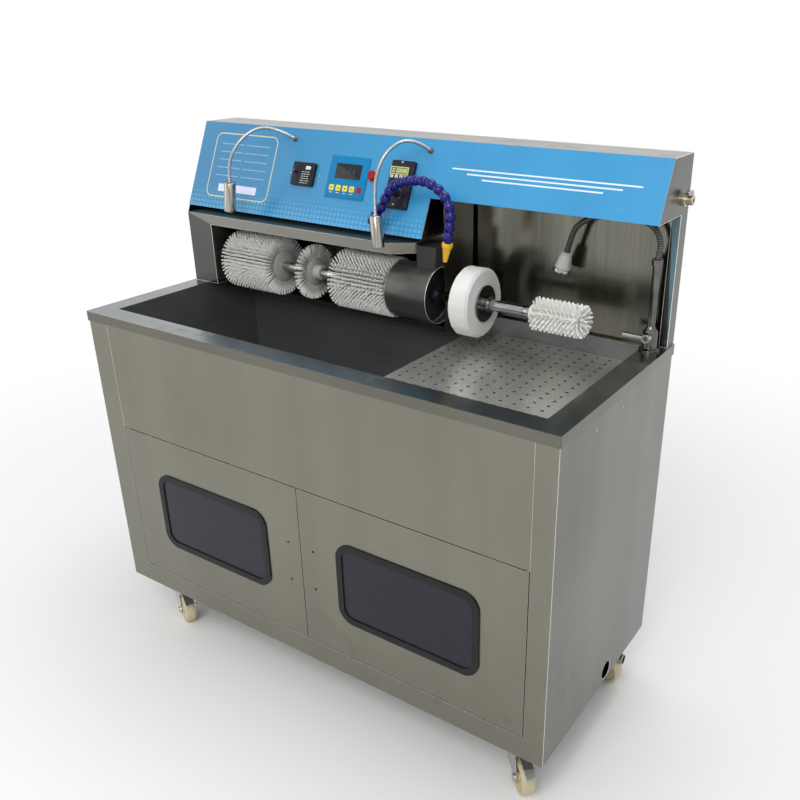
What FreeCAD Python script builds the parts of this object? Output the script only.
import FreeCAD, Part
import math
import os

# Stainless shoe washing machine on casters. Millimetres, +X to the right seen from the front,
# +Y to the back, +Z up. The origin is on the floor under the centre of the cabinet.

# Sheet metal and clearances
SHEET = 1.2
SEAM = 0.3
RUN_CLEAR = 0.05
SOFT_CLEAR = 0.35
OVERRUN = 5.0

# Overall size
RIM_HALF_W = 600.0
RIM_HALF_D = 257.5
RIM_TOP = 842.0
RIM_OVERHANG = 3.0
BODY_BOTTOM = 130.0

# Cabinet
RETURN_DEPTH = 22.0
STILE_LEFT_W = 60.0
STILE_RIGHT_W = 44.0
SILL_H = 52.0
APRON_H = 275.0
PANEL_FLANGE = 18.0
PORT_R = 20.0
PORT_Y = 40.0
PORT_RISE = 25.0

# Worktop rim and basin
RIM_LIP = 22.0
RIM_CORNER_R = 3.0
RIM_SIDE_W = 50.0
RIM_FRONT_W = 49.5
RIM_BACK_W = 45.5
BASIN_DEPTH = 242.0
BASIN_PITCH = 10.0
BASIN_FLANGE = 14.0

# Perforated tray
TRAY_DROP = 39.0
TRAY_LEFT = 151.0
TRAY_GAP = 1.0
TRAY_SKIRT = 16.0
TRAY_RAIL_W = 12.0
HOLE_R = 2.4
HOLE_PITCH_X = 28.8
HOLE_PITCH_Y = 25.0
HOLE_MARGIN_X = 21.0
HOLE_MARGIN_Y = 19.0

# Drain
DRAIN_R = 30.0
DRAIN_FLANGE_R = 42.0
DRAIN_FLANGE_T = 2.5
DRAIN_CUP_DEPTH = 40.0
STRAINER_HOLE_R = 3.0
STRAINER_RING_R = 17.0
STRAINER_HOLES = 10
PIPE_R = 12.5
PIPE_WALL = 2.0
PIPE_BELOW_FLOOR = 17.0
PIPE_FROM_CASTER_X = 78.0
PIPE_FROM_CASTER_Y = 48.0
PIPE_SOCKET_R = 15.5
PIPE_SOCKET_L = 18.0

# Doors and windows
DOOR_GAP = 2.0
DOOR_SPLIT = 5.0
DOOR_DEPTH = 20.0
PIVOT_INSET = 4.0
PIVOT_R = 2.5
PIVOT_HEAD_R = 5.0
PIVOT_HEAD_T = 2.0
PIVOT_REACH = 6.0
HANDLE_HOLE_R = 3.0
HANDLE_PITCH = 95.0
HANDLE_INSET = 35.0
WINDOW_W = 347.0
WINDOW_H = 197.5
WINDOW_CORNER = 38.0
GASKET_LIP = 7.0
GASKET_FACE = 15.0
GASKET_PROUD = 3.0
GLASS_T = 4.0

# Casters
CASTER_INSET_X = 89.0
CASTER_INSET_Y = 67.5
BRACKET_L = 85.0
BRACKET_W = 60.0
BRACKET_H = 24.0
BRACKET_CORNER = 16.0
PLATE_T = 2.5
WHEEL_R = 37.5
WHEEL_W = 28.0
WHEEL_CROWN = 3.0
WHEEL_HUB_R = 11.0
WHEEL_HUB_W = 31.0
WHEEL_DISH_R = 27.0
WHEEL_DISH_DEPTH = 4.0
CASTER_TRAIL = 38.0
AXLE_R = 5.0
AXLE_HEAD_R = 8.0
AXLE_HEAD_T = 4.0
FORK_SHEET = 2.5
FORK_BOSS_R = 12.0
FORK_GAP = 1.0
RACE_R = 24.0
RACE_H = 8.0
KING_PIN_R = 6.0
SWIVEL_GAP = 0.5
PEDAL_X = 29.0
PEDAL_DROP = 5.5
PEDAL_PIN_R = 2.5
PEDAL_KNUCKLE_R = 5.0
PEDAL_REACH = 84.0
PEDAL_FALL = 18.0
PEDAL_T = 2.5
PEDAL_W = 22.0
CASTER_ANGLES = {
    "front_left": -28.0,
    "front_right": -42.0,
    "rear_left": -20.0,
    "rear_right": -10.0,
}

# Control head
HEAD_INSET = 1.0
HEAD_RISE = 376.5
HEAD_ROOF_D = 100.5
FACE_RUN = 86.0
CONSOLE_RISE = 187.6
FASCIA_RISE = 265.7
COLUMN_D = 35.5
CONSOLE_RIGHT = 102.6
FACE_SHEET = 0.8
COLUMN_W = 18.0

# Brush bay
BAY_POST_W = 79.0
HOOD_FORWARD = 195.5
HOOD_RISE = 171.0
HOOD_TURN = 38.0
SHELF_FORWARD = 135.5
SHELF_DROP = 12.0
HOOD_LIP = 23.0
HOOD_RIGHT = 27.0
HOOD_BACK_RIGHT = 70.0
SHELF_LIP = 12.0
SHELF_RIGHT = 127.0
SIDE_FLANGE = 15.0

# Shaft, brushes and wheel
SHAFT_FORWARD = 147.5
SHAFT_RISE = 62.0
SHAFT_END_GAP = 1.0
SHAFT_R = 12.0
BEARING_R = 32.0
BEARING_W = 18.0
BEARING_BOLT_R = 4.0
BEARING_FLANGE = 5.0
SEAL_R = 20.0
SEAL_W = 12.0
BRUSH_CORE_R = 30.0
BRUSH_HUB_R = 20.0
BRUSH_ROOT_R = 54.0
BRUSH_END = 6.0
BRUSH_GROOVE_SHARE = 0.3
ROLLER_RINGS = 12
LEFT_ROLLER_L = 146.0
LEFT_ROLLER_R = 70.0
RIGHT_ROLLER_L = 151.0
RIGHT_ROLLER_R = 67.5
DISC_BRUSH_W = 13.0
BAY_GAP_SHARES = (0.20, 0.387, 0.391)
DISC_BRUSH_R = 64.0
FELT_LEFT = 187.0
FELT_RIGHT = 234.0
FELT_R = 74.0
FELT_CHAMFER = 7.0
FLANGE_R = 39.0
FLANGE_T = 4.0
COLLAR_L = 10.0
COLLAR_R = 17.0
BOTTLE_LEFT = 345.0
BOTTLE_BRISTLE = 369.0
BOTTLE_RIGHT = 470.0
BOTTLE_R = 41.0
BOTTLE_CORE_R = 15.0
BOTTLE_RINGS = 9
RIB_START_SHARE = 0.25

# Motor
MOTOR_LEFT = 22.0
MOTOR_RIGHT = 100.0
MOTOR_R = 50.0
MOTOR_RIB_R = 56.0
MOTOR_RIBS = 7
COVER_LEFT = 18.0
COVER_RIGHT = 125.5
COVER_R = 62.0
COVER_DISC_X = 107.0
FOOT_SETBACK = 6.0
FOOT_D = 30.0
FOOT_LEFT = 42.0
FOOT_RIGHT = 90.0
BOX_LEFT = 75.0
BOX_FORWARD = 20.0
BOX_D = 60.0
BOX_RISE = 106.0
BOX_RIGHT = 125.0
BOX_CORNER = 4.0
GLAND_R = 8.0
GLAND_L = 9.0

# Devices on the leaning face: x, distance down the face, sizes
BREAKER_X = -246.5
BREAKER_S = 103.0
BREAKER_W = 65.0
BREAKER_H = 52.0
BREAKER_T = 7.0
TOGGLE_X = -264.0
TOGGLE_SLOT_W = 12.0
TOGGLE_SLOT_H = 34.0
TOGGLE_W = 8.0
TOGGLE_R = 14.0
TOGGLE_HUB_R = 3.0
TOGGLE_SLOT_DEPTH = 5.0
TOGGLE_TILT = 20.0
TEST_W = 14.0
TEST_H = 8.0
TEST_PROUD = 1.5
BOARD_X = -122.0
BOARD_S = 99.5
BOARD_W = 108.0
BOARD_H = 93.0
BOARD_T = 2.0
DISPLAY_X = -122.3
DISPLAY_S = 86.0
DISPLAY_W = 71.5
DISPLAY_H = 33.5
DISPLAY_DEPTH = 1.0
KEY_S = 124.0
KEY_LEFT_X = -160.0
KEY_PITCH = 19.0
KEY_COUNT = 5
KEY_SIZE = 13.0
KEY_PROUD = 0.6
BUTTON_X = -54.7
BUTTON_S = 89.9
BUTTON_R = 11.0
BEZEL_R = 13.0
BEZEL_T = 4.0
BUTTON_PROUD = 5.0
BUTTON_TRAVEL = 3.0
BUTTON_CLEAR = 0.4
CONTROLLER_X = 23.5
CONTROLLER_S = 102.5
CONTROLLER_W = 59.0
CONTROLLER_H = 101.0
CONTROLLER_T = 9.0
LCD_X = 18.0
LCD_S = 74.2
LCD_W = 46.5
LCD_H = 17.0
LCD_DEPTH = 1.0
SMALL_KEY_S = 86.6
SMALL_KEY_LEFT = 1.0
SMALL_KEY_PITCH = 12.0
SMALL_KEY_COUNT = 4
SMALL_KEY_W = 8.0
SMALL_KEY_H = 6.0
KNOB_X = 23.1
KNOB_S = 122.2
KNOB_R = 7.5
KNOB_H = 11.0
KNOB_STEM_R = 3.0
KNOB_FLUTES = 10
KNOB_FLUTE_R = 1.2
KNOB_GAP = 0.3
SCREW_R = 3.0
SCREW_H = 1.8
FACE_SCREWS = ((-289.5, 102.5), (-203.6, 102.5))
CONTROLLER_SCREWS = ((21.0, 56.1), (19.6, 145.4))

# Lamps
LAMP_TUBE_R = 4.0
LAMP_NUT_R = 9.0
LAMP_NUT_L = 10.0
LAMP_HEAD_R = 14.0
LAMP_HEAD_L = 70.0
LAMP_LENS_R = 11.5
LAMP_S = 25.0
LAMP_REACH = 132.0
LAMP_RISE = 52.0
LAMP_FALL = 125.0
LAMP_ROUTE_SHARES = (
    (0.0, 0.0),
    (0.20, 0.28),
    (0.42, 0.66),
    (0.62, 0.50),
    (0.86, -0.22),
    (0.97, -0.62),
)
LEFT_LAMP_X = -295.0
RIGHT_LAMP_X = 79.0
LEFT_LAMP_ANGLE = 33.0
RIGHT_LAMP_ANGLE = 31.0
LEFT_LAMP_SHARE = 1.24
RIGHT_LAMP_SHARE = 1.0

# Segmented hose
HOSE_BASE_X = -20.0
HOSE_BASE_S = 190.0
HOSE_BASE_R = 13.0
HOSE_BASE_L = 12.0
HOSE_STUB = 22.0
HOSE_R = 11.5
HOSE_WAIST_R = 8.0
HOSE_BORE_R = 5.5
HOSE_RIBS = 18
HOSE_WIDTH = 200.0
HOSE_RISE = 96.0
HOSE_RETREAT = 20.0
HOSE_ROUTE_SHARES = (
    (-0.02, 0.50, 0.28),
    (0.09, 0.95, 0.62),
    (0.24, 0.95, 0.86),
    (0.46, 0.75, 0.98),
    (0.72, 0.50, 1.00),
    (0.90, 0.35, 0.84),
    (1.00, 0.25, 0.58),
    (1.00, 0.25, -0.25),
)
NOZZLE_L = 40.0
NOZZLE_TIP_R = 4.0
NOZZLE_BAND_SHARE = 0.25
NOZZLE_BORE_R = 2.5

# Tap
TAP_INSET_X = 32.0
TAP_INSET_Y = 62.5
RISER_RISE = 184.0
LEVER_RISE = 30.0
TAP_FOOT_R = 21.0
TAP_FOOT_H = 6.0
TAP_BODY_R = 15.0
TAP_BODY_H = 34.0
TAP_NECK_R = 10.0
RISER_R = 8.0
RISER_COLLAR_R = 11.0
RISER_COLLAR_H = 12.0
LEVER_L = 48.0
LEVER_R = 5.0
LEVER_TIP_R = 6.5
LEVER_HUB_R = 9.0
LEVER_HUB_L = 12.0
NECK_R = 6.0
NECK_CLEAR = 0.3
NECK_REACH = 187.0
NECK_ANGLE = 3.0
NECK_RISE = 72.0
NECK_ROUTE_SHARES = (
    (0.0, 0.0),
    (-0.03, 0.48),
    (0.11, 1.00),
    (0.67, 1.00),
    (0.90, 0.68),
    (0.965, 0.26),
    (1.00, -0.125),
)
SPRAY_L = 34.0
SPRAY_COLLAR_R = 12.0
SPRAY_FACE_R = 18.5
SPRAY_FACE_T = 8.0
SPRAY_PRONGS = 8
PRONG_R = 2.0
PRONG_L = 4.0

# Side valve on the right cheek
SIDE_VALVE_DROP = 81.5
SIDE_VALVE_R = 9.0
SIDE_NUT_R = 12.0
SIDE_NUT_T = 6.0
SIDE_REACH = 20.0
SIDE_BORE_R = 4.5
SIDE_BORE_L = 12.0
SIDE_HANDLE_R = 4.0
SIDE_HANDLE_L = 20.0
SIDE_STEM_R = 3.5

# Places worked out from the sizes above
BODY_HALF_W = RIM_HALF_W - RIM_OVERHANG
BODY_HALF_D = RIM_HALF_D - RIM_OVERHANG
HEAD_HALF_W = BODY_HALF_W - HEAD_INSET
APRON_BOTTOM = RIM_TOP - APRON_H
HEAD_TOP = RIM_TOP + HEAD_RISE
HEAD_TOP_Y = RIM_HALF_D - HEAD_ROOF_D
FACE_FOOT_Y = HEAD_TOP_Y - FACE_RUN
CONSOLE_BOTTOM = RIM_TOP + CONSOLE_RISE
FASCIA_BOTTOM = RIM_TOP + FASCIA_RISE
COLUMN_Y = RIM_HALF_D - COLUMN_D
HOOD_FRONT_Y = RIM_HALF_D - HOOD_FORWARD
HOOD_TURN_Y = HOOD_FRONT_Y + HOOD_TURN
HOOD_TOP = RIM_TOP + HOOD_RISE
CHEEK_RIGHT = -HEAD_HALF_W + BAY_POST_W
SHELF_FRONT_Y = RIM_HALF_D - SHELF_FORWARD
SHELF_Z = RIM_TOP - SHELF_DROP
SHAFT_Y = RIM_HALF_D - SHAFT_FORWARD
SHAFT_Z = RIM_TOP + SHAFT_RISE
SHAFT_LEFT = CHEEK_RIGHT + SHAFT_END_GAP
BAY_GAPS = COVER_LEFT - CHEEK_RIGHT - LEFT_ROLLER_L - DISC_BRUSH_W - RIGHT_ROLLER_L
LEFT_ROLLER_X = CHEEK_RIGHT + BAY_GAPS * BAY_GAP_SHARES[0]
DISC_BRUSH_X = LEFT_ROLLER_X + LEFT_ROLLER_L + BAY_GAPS * BAY_GAP_SHARES[1]
RIGHT_ROLLER_X = DISC_BRUSH_X + DISC_BRUSH_W + BAY_GAPS * BAY_GAP_SHARES[2]
FOOT_FRONT_Y = SHELF_FRONT_Y + FOOT_SETBACK
FOOT_BACK_Y = FOOT_FRONT_Y + FOOT_D
BOX_FRONT_Y = SHAFT_Y - BOX_FORWARD
BOX_BACK_Y = BOX_FRONT_Y + BOX_D
BOX_TOP = SHAFT_Z + BOX_RISE
TAP_X = RIM_HALF_W - TAP_INSET_X
TAP_Y = RIM_HALF_D - TAP_INSET_Y
LEVER_Z = RIM_TOP + LEVER_RISE
RISER_TOP = RIM_TOP + RISER_RISE
SIDE_VALVE_Y = COLUMN_Y
SIDE_VALVE_Z = HEAD_TOP - SIDE_VALVE_DROP
CASTER_X = BODY_HALF_W - CASTER_INSET_X
CASTER_Y = BODY_HALF_D - CASTER_INSET_Y
PIPE_DROP_X = CASTER_X - PIPE_FROM_CASTER_X
PIPE_Y = CASTER_Y - PIPE_FROM_CASTER_Y
PIPE_Z = BODY_BOTTOM - PIPE_BELOW_FLOOR
PIPE_END_X = RIM_HALF_W
FRAME_FRONT = -BODY_HALF_D
OPENING_LEFT = -BODY_HALF_W + STILE_LEFT_W
OPENING_RIGHT = BODY_HALF_W - STILE_RIGHT_W
OPENING_BOTTOM = BODY_BOTTOM + SILL_H
BASIN_LEFT = -RIM_HALF_W + RIM_SIDE_W
BASIN_RIGHT = RIM_HALF_W - RIM_SIDE_W
BASIN_FRONT = -RIM_HALF_D + RIM_FRONT_W
BASIN_BACK = RIM_HALF_D - RIM_BACK_W
BASIN_FLOOR = RIM_TOP - BASIN_DEPTH
BASIN_MID_Y = (BASIN_FRONT + BASIN_BACK) / 2
DRAIN_X = (TRAY_LEFT + BASIN_RIGHT) / 2
DOOR_MID_Z = (OPENING_BOTTOM + APRON_BOTTOM) / 2
TRAY_TOP = RIM_TOP - TRAY_DROP
RIM_UNDER = RIM_TOP - SHEET
FACE_RISE = HEAD_TOP - CONSOLE_BOTTOM
FACE_LEAN = math.degrees(math.atan2(FACE_RISE, FACE_RUN))
FACE_LENGTH = math.hypot(FACE_RUN, FACE_RISE)
FASCIA_LENGTH = (HEAD_TOP - FASCIA_BOTTOM) * FACE_LENGTH / FACE_RISE
FASCIA_Y = HEAD_TOP_Y - (HEAD_TOP - FASCIA_BOTTOM) * FACE_RUN / FACE_RISE
PLATE_TOP = BODY_BOTTOM - BRACKET_H
FORK_TOP = PLATE_TOP - PLATE_T - SWIVEL_GAP
CROWN_TOP = FORK_TOP - RACE_H
CHEEK_LEFT = -HEAD_HALF_W + SHEET + SEAM
ARC_SHARE = 0.45


def vec(x, y, z):
    return FreeCAD.Vector(x, y, z)


def block(x0, x1, y0, y1, z0, z1):
    """A plain block between two corners."""
    return Part.makeBox(x1 - x0, y1 - y0, z1 - z0, vec(x0, y0, z0))


def rod(start, end, radius):
    """A round bar from one point to another."""
    run = end - start
    return Part.makeCylinder(radius, run.Length, start, run)


def prism(outline, axis, low, high):
    """Extrude an outline: (y, z) pairs along x, (x, z) along y, or (x, y) along z."""
    if axis == "x":
        points = [vec(low, u, v) for u, v in outline]
        run = vec(high - low, 0, 0)
    elif axis == "y":
        points = [vec(u, low, v) for u, v in outline]
        run = vec(0, high - low, 0)
    else:
        points = [vec(u, v, low) for u, v in outline]
        run = vec(0, 0, high - low)
    return Part.Face(Part.makePolygon(points + points[:1])).extrude(run)


def offset_line(points, gap):
    """The same polyline moved sideways by gap, with mitred corners."""
    moved = []
    sides = []
    for (u0, v0), (u1, v1) in zip(points, points[1:]):
        length = math.hypot(u1 - u0, v1 - v0)
        sides.append((-(v1 - v0) / length, (u1 - u0) / length))
    for place, (u, v) in enumerate(points):
        before = sides[max(place - 1, 0)]
        after = sides[min(place, len(sides) - 1)]
        spread = 1 + before[0] * after[0] + before[1] * after[1]
        moved.append((u + gap * (before[0] + after[0]) / spread, v + gap * (before[1] + after[1]) / spread))
    return moved


def folded(points, axis, low, high, gap=SHEET):
    """Sheet metal folded along a polyline, its thickness to the left of the line."""
    return prism(list(points) + offset_line(points, gap)[::-1], axis, low, high)


def lathe(profile, base, direction):
    """Turn a (radius, height) outline about an axis through base."""
    points = [vec(r, 0, h) for r, h in profile]
    face = Part.Face(Part.makePolygon(points + points[:1]))
    turned = face.revolve(vec(0, 0, 0), vec(0, 0, 1), 360)
    turned.Placement = FreeCAD.Placement(base, FreeCAD.Rotation(vec(0, 0, 1), direction))
    return turned


def rounded_slab(width, height, radius, low, high):
    """A plate with rounded corners, centred on the local axis, from low to high."""
    half_w = width / 2
    half_h = height / 2
    corners = ((half_w, half_h), (-half_w, half_h), (-half_w, -half_h), (half_w, -half_h))
    edges = []
    last = None
    for place, (u, v) in enumerate(corners):
        across = vec(math.copysign(radius, -u), 0, 0)
        down = vec(0, math.copysign(radius, -v), 0)
        corner = vec(u, v, low)
        start, end = (corner + down, corner + across) if place % 2 == 0 else (corner + across, corner + down)
        centre = corner + across + down
        middle = centre + (corner - centre).normalize() * radius
        if last is not None:
            edges.append(Part.makeLine(last, start))
        edges.append(Part.Arc(start, middle, end).toShape())
        last = end
    first = edges[0].Vertexes[0].Point
    edges.append(Part.makeLine(last, first))
    return Part.Face(Part.Wire(edges)).extrude(vec(0, 0, high - low))


def facing_front(shape, x, y, z):
    """Stand a local shape up: its own z axis points to the front."""
    shape.Placement = FreeCAD.Placement(vec(x, y, z), FreeCAD.Rotation(vec(1, 0, 0), 90))
    return shape


def on_face(shape, x, s, out=0.0):
    """Lay a local shape on the leaning control face, s down from its top edge."""
    turn = FreeCAD.Rotation(vec(1, 0, 0), FACE_LEAN)
    up = turn.multVec(vec(0, 1, 0))
    normal = turn.multVec(vec(0, 0, 1))
    place = vec(x, HEAD_TOP_Y, HEAD_TOP) - up * s + normal * (FACE_SHEET + out)
    shape.Placement = FreeCAD.Placement(place, turn).multiply(shape.Placement)
    return shape


def smooth_path(points):
    """Straight runs joined by tangent arcs, each as large as its two runs allow."""
    edges = []
    last = points[0]
    for before, corner, after in zip(points, points[1:], points[2:]):
        back = before - corner
        ahead = after - corner
        reach = ARC_SHARE * min(back.Length, ahead.Length)
        back.normalize()
        ahead.normalize()
        half = back.getAngle(ahead) / 2
        bisector = (back + ahead).normalize()
        centre = corner + bisector * (reach / math.cos(half))
        middle = centre - bisector * (reach * math.tan(half))
        start = corner + back * reach
        end = corner + ahead * reach
        edges.append(Part.makeLine(last, start))
        edges.append(Part.Arc(start, middle, end).toShape())
        last = end
    edges.append(Part.makeLine(last, points[-1]))
    return Part.Wire(edges)


def tube(points, radius, bore=None):
    """A round tube along a smooth path, with a bore if one is given."""
    path = smooth_path(points)
    run = points[1] - points[0]
    solid = path.makePipeShell([Part.Wire(Part.makeCircle(radius, points[0], run))], True, False)
    if bore is None:
        return solid
    return solid.cut(path.makePipeShell([Part.Wire(Part.makeCircle(bore, points[0], run))], True, False))


def fuse(shapes):
    """Join touching shapes into one solid."""
    return shapes[0].multiFuse(list(shapes[1:])).removeSplitter()


def group(shapes):
    """Keep separate solids together in one piece."""
    return Part.makeCompound(list(shapes))


def front_frame():
    """Two stiles and a sill round the door opening, with returns folded back."""
    back = FRAME_FRONT + SHEET
    deep = FRAME_FRONT + RETURN_DEPTH
    top = RIM_UNDER
    stiles = block(-BODY_HALF_W, BODY_HALF_W, FRAME_FRONT, back, BODY_BOTTOM, top)
    opening = block(OPENING_LEFT, OPENING_RIGHT, FRAME_FRONT - OVERRUN, deep, OPENING_BOTTOM, top + OVERRUN)
    left_jamb = block(OPENING_LEFT - SHEET, OPENING_LEFT, back, deep, OPENING_BOTTOM, APRON_BOTTOM)
    right_jamb = block(OPENING_RIGHT, OPENING_RIGHT + SHEET, back, deep, OPENING_BOTTOM, APRON_BOTTOM)
    sill = block(OPENING_LEFT - SHEET, OPENING_RIGHT + SHEET, back, deep,
                 OPENING_BOTTOM - SHEET, OPENING_BOTTOM)
    foot = block(-BODY_HALF_W + SHEET, BODY_HALF_W - SHEET, back, deep, BODY_BOTTOM, BODY_BOTTOM + SHEET)
    frame = fuse([stiles.cut(opening), left_jamb, right_jamb, sill, foot])
    for x in pivot_places():
        frame = frame.cut(rod(vec(x, pivot_y(), BODY_BOTTOM + OVERRUN),
                              vec(x, pivot_y(), OPENING_BOTTOM + OVERRUN), PIVOT_R + RUN_CLEAR))
    return frame


def apron_panel():
    """The plain panel between the doors and the rim, its lower edge carrying the pivots."""
    outline = [
        (FRAME_FRONT + RETURN_DEPTH, RIM_UNDER - SEAM),
        (FRAME_FRONT, RIM_UNDER - SEAM),
        (FRAME_FRONT, APRON_BOTTOM),
        (FRAME_FRONT + RETURN_DEPTH, APRON_BOTTOM),
        (FRAME_FRONT + RETURN_DEPTH, APRON_BOTTOM + PANEL_FLANGE),
    ]
    panel = folded(outline, "x", OPENING_LEFT + SEAM, OPENING_RIGHT - SEAM)
    for x in pivot_places():
        panel = panel.cut(rod(vec(x, pivot_y(), APRON_BOTTOM - OVERRUN),
                              vec(x, pivot_y(), APRON_BOTTOM + OVERRUN), PIVOT_R + RUN_CLEAR))
    return panel


def side_panel(side):
    """One folded side of the cabinet; the right one has the hose and cable port."""
    outer = side * BODY_HALF_W
    inner = outer - side * PANEL_FLANGE
    front = FRAME_FRONT + SHEET
    back = BODY_HALF_D - SHEET
    outline = [(inner, front), (outer, front), (outer, back), (inner, back)]
    panel = folded(outline, "z", BODY_BOTTOM + SHEET, RIM_UNDER, side * SHEET)
    if side > 0:
        z = BODY_BOTTOM + PORT_RISE
        panel = panel.cut(rod(vec(outer - OVERRUN, PORT_Y, z), vec(outer + OVERRUN, PORT_Y, z), PORT_R))
    return panel


def rear_panels():
    """Lower and upper back covers with folded edges."""
    lower = block(-BODY_HALF_W, BODY_HALF_W, BODY_HALF_D - SHEET, BODY_HALF_D, BODY_BOTTOM, RIM_UNDER)
    edge = RIM_HALF_D - SHEET
    upper = block(-HEAD_HALF_W, HEAD_HALF_W, edge, RIM_HALF_D, RIM_TOP, HEAD_TOP)
    return group([lower, upper])


def floor_pan():
    """The cabinet floor, turned up all round inside the panels."""
    x = BODY_HALF_W - SHEET - SEAM
    front = FRAME_FRONT + RETURN_DEPTH + SEAM
    back = BODY_HALF_D - SHEET - PANEL_FLANGE
    outline = [(front, BODY_BOTTOM + PANEL_FLANGE), (front, BODY_BOTTOM), (back, BODY_BOTTOM),
               (back, BODY_BOTTOM + PANEL_FLANGE)]
    pan = folded(outline, "x", -x, x)
    hole = rod(vec(PIPE_DROP_X, PIPE_Y, BODY_BOTTOM - OVERRUN),
               vec(PIPE_DROP_X, PIPE_Y, BODY_BOTTOM + OVERRUN), PIPE_R + SEAM)
    return pan.cut(hole)


def caster_places():
    """Swivel centre of each caster, by name."""
    places = {}
    for name in CASTER_ANGLES:
        x = CASTER_X if name.endswith("right") else -CASTER_X
        y = -CASTER_Y if name.startswith("front") else CASTER_Y
        places[name] = (x, y)
    return places


def caster_brackets():
    """A rounded tray, a plate and a king pin at each corner, carrying the swivels."""
    pieces = []
    for x, y in caster_places().values():
        tray = rounded_slab(BRACKET_L, BRACKET_W, BRACKET_CORNER, PLATE_TOP, BODY_BOTTOM)
        hollow = rounded_slab(BRACKET_L - 2 * SHEET, BRACKET_W - 2 * SHEET, BRACKET_CORNER - SHEET,
                              PLATE_TOP + SHEET, BODY_BOTTOM + OVERRUN)
        plate = rounded_slab(BRACKET_L - BRACKET_CORNER, BRACKET_W, PLATE_T, PLATE_TOP - PLATE_T, PLATE_TOP)
        pin = rod(vec(0, 0, CROWN_TOP - PLATE_T), vec(0, 0, PLATE_TOP), KING_PIN_R)
        bracket = fuse([tray.cut(hollow), plate, pin])
        bracket.translate(vec(x, y, 0))
        pieces.append(bracket)
    return group(pieces)


def worktop_rim():
    """The worktop: a flat rim round the basin with a turned-down outer edge."""
    outer = rounded_slab(2 * RIM_HALF_W, 2 * RIM_HALF_D, RIM_CORNER_R, RIM_TOP - RIM_LIP, RIM_TOP)
    under = rounded_slab(2 * (RIM_HALF_W - SHEET), 2 * (RIM_HALF_D - SHEET), RIM_CORNER_R - SHEET,
                         RIM_TOP - RIM_LIP - OVERRUN, RIM_UNDER)
    opening = block(BASIN_LEFT, BASIN_RIGHT, BASIN_FRONT, BASIN_BACK, RIM_UNDER - OVERRUN, RIM_TOP + OVERRUN)
    return outer.cut(under).cut(opening)


def basin_outline(grow):
    """Cross-section of the basin with its floor pitched to the middle."""
    return [
        (BASIN_FRONT - grow, RIM_UNDER),
        (BASIN_FRONT - grow, BASIN_FLOOR + BASIN_PITCH - grow),
        (BASIN_MID_Y, BASIN_FLOOR - grow),
        (BASIN_BACK + grow, BASIN_FLOOR + BASIN_PITCH - grow),
        (BASIN_BACK + grow, RIM_UNDER),
    ]


def sink_basin():
    """The welded wash basin with a flange under the rim and rails for the tray."""
    shell = prism(basin_outline(SHEET), "x", BASIN_LEFT - SHEET, BASIN_RIGHT + SHEET)
    flange = block(BASIN_LEFT - BASIN_FLANGE, BASIN_RIGHT + BASIN_FLANGE, BASIN_FRONT - BASIN_FLANGE,
                   BASIN_BACK + BASIN_FLANGE, RIM_UNDER - SHEET, RIM_UNDER)
    inside = prism(basin_outline(0), "x", BASIN_LEFT, BASIN_RIGHT)
    basin = shell.fuse(flange).cut(inside)
    rail_top = TRAY_TOP - TRAY_SKIRT
    rails = []
    for wall, sign in ((BASIN_FRONT, 1), (BASIN_BACK, -1)):
        outline = [(wall, rail_top - TRAY_SKIRT), (wall + sign * SHEET, rail_top - TRAY_SKIRT),
                   (wall + sign * SHEET, rail_top - SHEET), (wall + sign * TRAY_RAIL_W, rail_top - SHEET),
                   (wall + sign * TRAY_RAIL_W, rail_top), (wall, rail_top)]
        rails.append(prism(outline, "x", TRAY_LEFT, BASIN_RIGHT))
    hole = rod(vec(DRAIN_X, BASIN_MID_Y, BASIN_FLOOR - DRAIN_R),
               vec(DRAIN_X, BASIN_MID_Y, BASIN_FLOOR + DRAIN_R), DRAIN_R + SEAM)
    return fuse([basin] + rails).cut(hole)


def perforated_tray():
    """The lift-out tray: a sheet with a grid of round holes and folded skirts."""
    left = TRAY_LEFT
    right = BASIN_RIGHT - TRAY_GAP
    front = BASIN_FRONT + TRAY_GAP
    back = BASIN_BACK - TRAY_GAP
    outer = block(left, right, front, back, TRAY_TOP - TRAY_SKIRT, TRAY_TOP)
    under = block(left + SHEET, right - SHEET, front + SHEET, back - SHEET,
                  TRAY_TOP - TRAY_SKIRT - OVERRUN, TRAY_TOP - SHEET)
    holes = []
    columns = int((right - left - 2 * HOLE_MARGIN_X) / HOLE_PITCH_X) + 1
    rows = int((back - front - 2 * HOLE_MARGIN_Y) / HOLE_PITCH_Y) + 1
    for column in range(columns):
        x = left + HOLE_MARGIN_X + column * HOLE_PITCH_X
        for row in range(rows):
            y = back - HOLE_MARGIN_Y - row * HOLE_PITCH_Y
            holes.append(rod(vec(x, y, TRAY_TOP - SHEET - OVERRUN), vec(x, y, TRAY_TOP + OVERRUN), HOLE_R))
    return outer.cut(under).cut(group(holes))


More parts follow.
